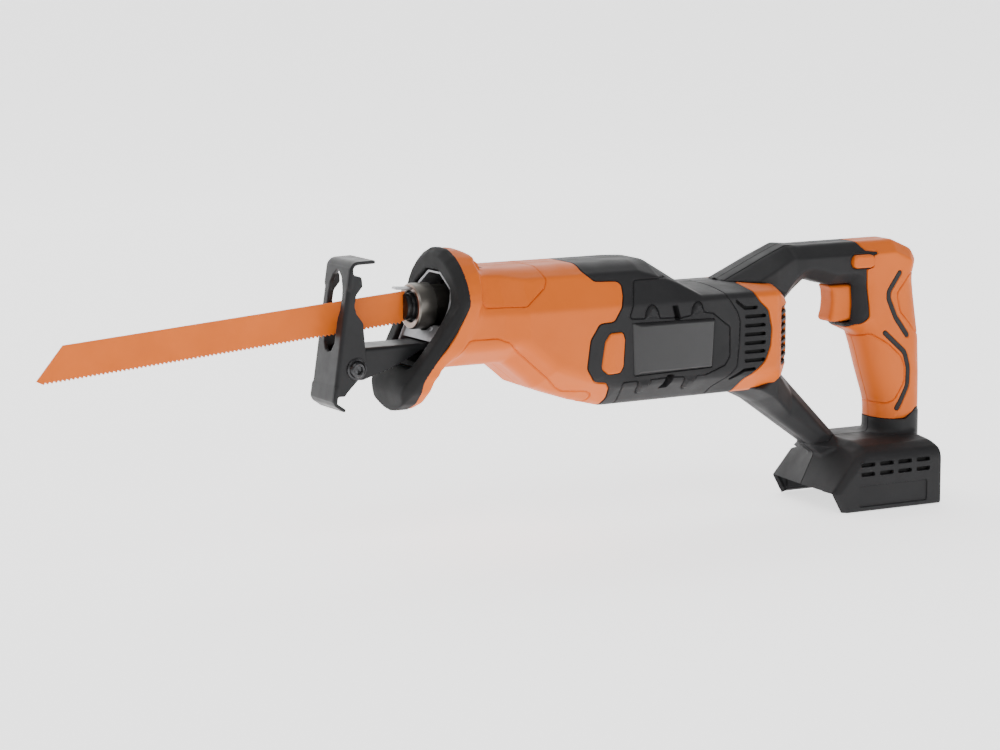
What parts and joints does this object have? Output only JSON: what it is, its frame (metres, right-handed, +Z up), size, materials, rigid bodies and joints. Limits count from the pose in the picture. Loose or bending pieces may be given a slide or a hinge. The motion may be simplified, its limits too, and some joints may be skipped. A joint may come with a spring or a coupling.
{
  "type": "reciprocating saw",
  "caption": "Cordless reciprocating saw with a D-shaped rear handle, battery foot, pivoting depth-set shoe, keyless blade clamp and a long blade.",
  "frame": {"origin": "middle of the bottom of the whole saw's box, on the battery foot's lower rim", "axes": "+X from the blade's tip back to the handle, +Y to the saw's right side, +Z up"},
  "size_m": [0.587, 0.08, 0.174],
  "materials": {
    "orange_plastic": "fine textured moulding",
    "black_plastic": "fine textured moulding",
    "black_rubber": "soft matt overmould",
    "black_steel": "black oxide and paint",
    "bright_steel": "turned and burnished",
    "cast_alloy": "die cast",
    "bearing_bronze": "sintered",
    "copper_wire": "enamelled wire",
    "blade_paint": "painted",
    "screw_steel": "zinc plated",
    "board_green": "solder resist",
    "electrical_steel": "laminated"
  },
  "bodies": {
    "housing": {"nose_cover_left": "orange_plastic", "nose_cover_right": "orange_plastic", "rubber_collar": "black_rubber", "front_plate": "cast_alloy", "main_housing_left": "black_plastic", "main_housing_right": "black_plastic", "rear_end_cap": "orange_plastic", "handle_left": "black_plastic", "handle_right": "black_plastic", "grip_pad_left": "black_rubber", "grip_pad_right": "black_rubber", "lower_arm_left": "black_plastic", "lower_arm_right": "black_plastic", "battery_foot_left": "black_plastic", "battery_foot_right": "black_plastic", "terminal_block": "black_plastic", "battery_terminals": "bearing_bronze", "control_board": "board_green", "battery_rail_left": "black_steel", "battery_rail_right": "black_steel", "trigger_switch": "black_plastic", "side_panel_left": "black_plastic", "side_panel_right": "black_plastic", "shoe_guide": "black_steel", "gear_case_upper": "cast_alloy", "gear_case_lower": "cast_alloy", "motor_mount_plate": "cast_alloy", "plunger_front_bush": "bearing_bronze", "plunger_seal": "black_rubber", "plunger_rear_bush": "bearing_bronze", "crank_upper_bearing": "bright_steel", "crank_lower_bearing": "bright_steel", "motor_front_bearing": "bright_steel", "motor_rear_bearing": "bright_steel", "stator_core": "electrical_steel", "stator_windings": "copper_wire", "housing_screws": "screw_steel", "trigger_spring": "screw_steel", "shoe_button_spring": "screw_steel"},
    "plunger": {"plunger_shaft": "bright_steel", "scotch_yoke": "bright_steel", "blade_clamp_body": "bright_steel", "blade_clamp_pin": "bright_steel", "blade": "blade_paint", "clamp_spring": "screw_steel"},
    "blade_collar": {"clamp_collar": "bright_steel", "clamp_lever": "bright_steel"},
    "crank": {"crank_gear": "bright_steel", "crank_shaft": "bright_steel", "crank_pin": "bright_steel"},
    "rotor": {"motor_shaft": "bright_steel", "motor_pinion": "bright_steel", "rotor_core": "electrical_steel", "cooling_fan": "black_plastic"},
    "shoe_slide": {"shoe_arm": "black_steel", "shoe_pivot_pin": "black_steel"},
    "shoe_plate": {"shoe": "black_steel"},
    "trigger_lever": {"trigger": "orange_plastic"},
    "lock_bolt": {"lock_button": "orange_plastic"},
    "shoe_button": {"shoe_release_button": "orange_plastic"}
  },
  "joints": [
    {"name": "plunger_stroke", "type": "slide", "parent": "housing", "child": "plunger", "axis": [1, 0, 0], "range_m": [-0.014, 0.014]},
    {"name": "collar_twist", "type": "hinge", "parent": "plunger", "child": "blade_collar", "pos_m": [-0.0539, 0, 0.141], "axis": [1, 0, 0], "range_deg": [0, 70], "stiffness_Nm_per_rad": 0.15, "deforming": ["clamp_spring"]},
    {"name": "motor_spin", "type": "hinge", "parent": "housing", "child": "rotor", "pos_m": [0.1141, 0, 0.1094], "axis": [1, 0, 0], "continuous": true},
    {"name": "crank_spin", "type": "hinge", "parent": "housing", "child": "crank", "pos_m": [0.0321, 0, 0.106], "axis": [0, 0, 1], "continuous": true},
    {"name": "shoe_depth", "type": "slide", "parent": "housing", "child": "shoe_slide", "axis": [1, 0, 0], "range_m": [-0.012, 0.012]},
    {"name": "shoe_pivot", "type": "hinge", "parent": "shoe_slide", "child": "shoe_plate", "pos_m": [-0.1081, 0, 0.1097], "axis": [0, 1, 0], "range_deg": [-12, 12]},
    {"name": "trigger_pull", "type": "slide", "parent": "housing", "child": "trigger_lever", "axis": [1, 0, 0], "range_m": [0, 0.007], "stiffness_N_per_m": 900, "springref_m": -0.003, "deforming": ["trigger_spring"]},
    {"name": "lock_push", "type": "slide", "parent": "housing", "child": "lock_bolt", "axis": [0, 1, 0], "range_m": [-0.003, 0.003]},
    {"name": "shoe_button_press", "type": "slide", "parent": "housing", "child": "shoe_button", "axis": [0, 1, 0], "range_m": [0, 0.002], "stiffness_N_per_m": 1200, "springref_m": -0.001, "deforming": ["shoe_button_spring"]}
  ],
  "couplings": [
    {"joint": "crank_spin", "follows": "motor_spin", "ratio": -0.25}
  ]
}
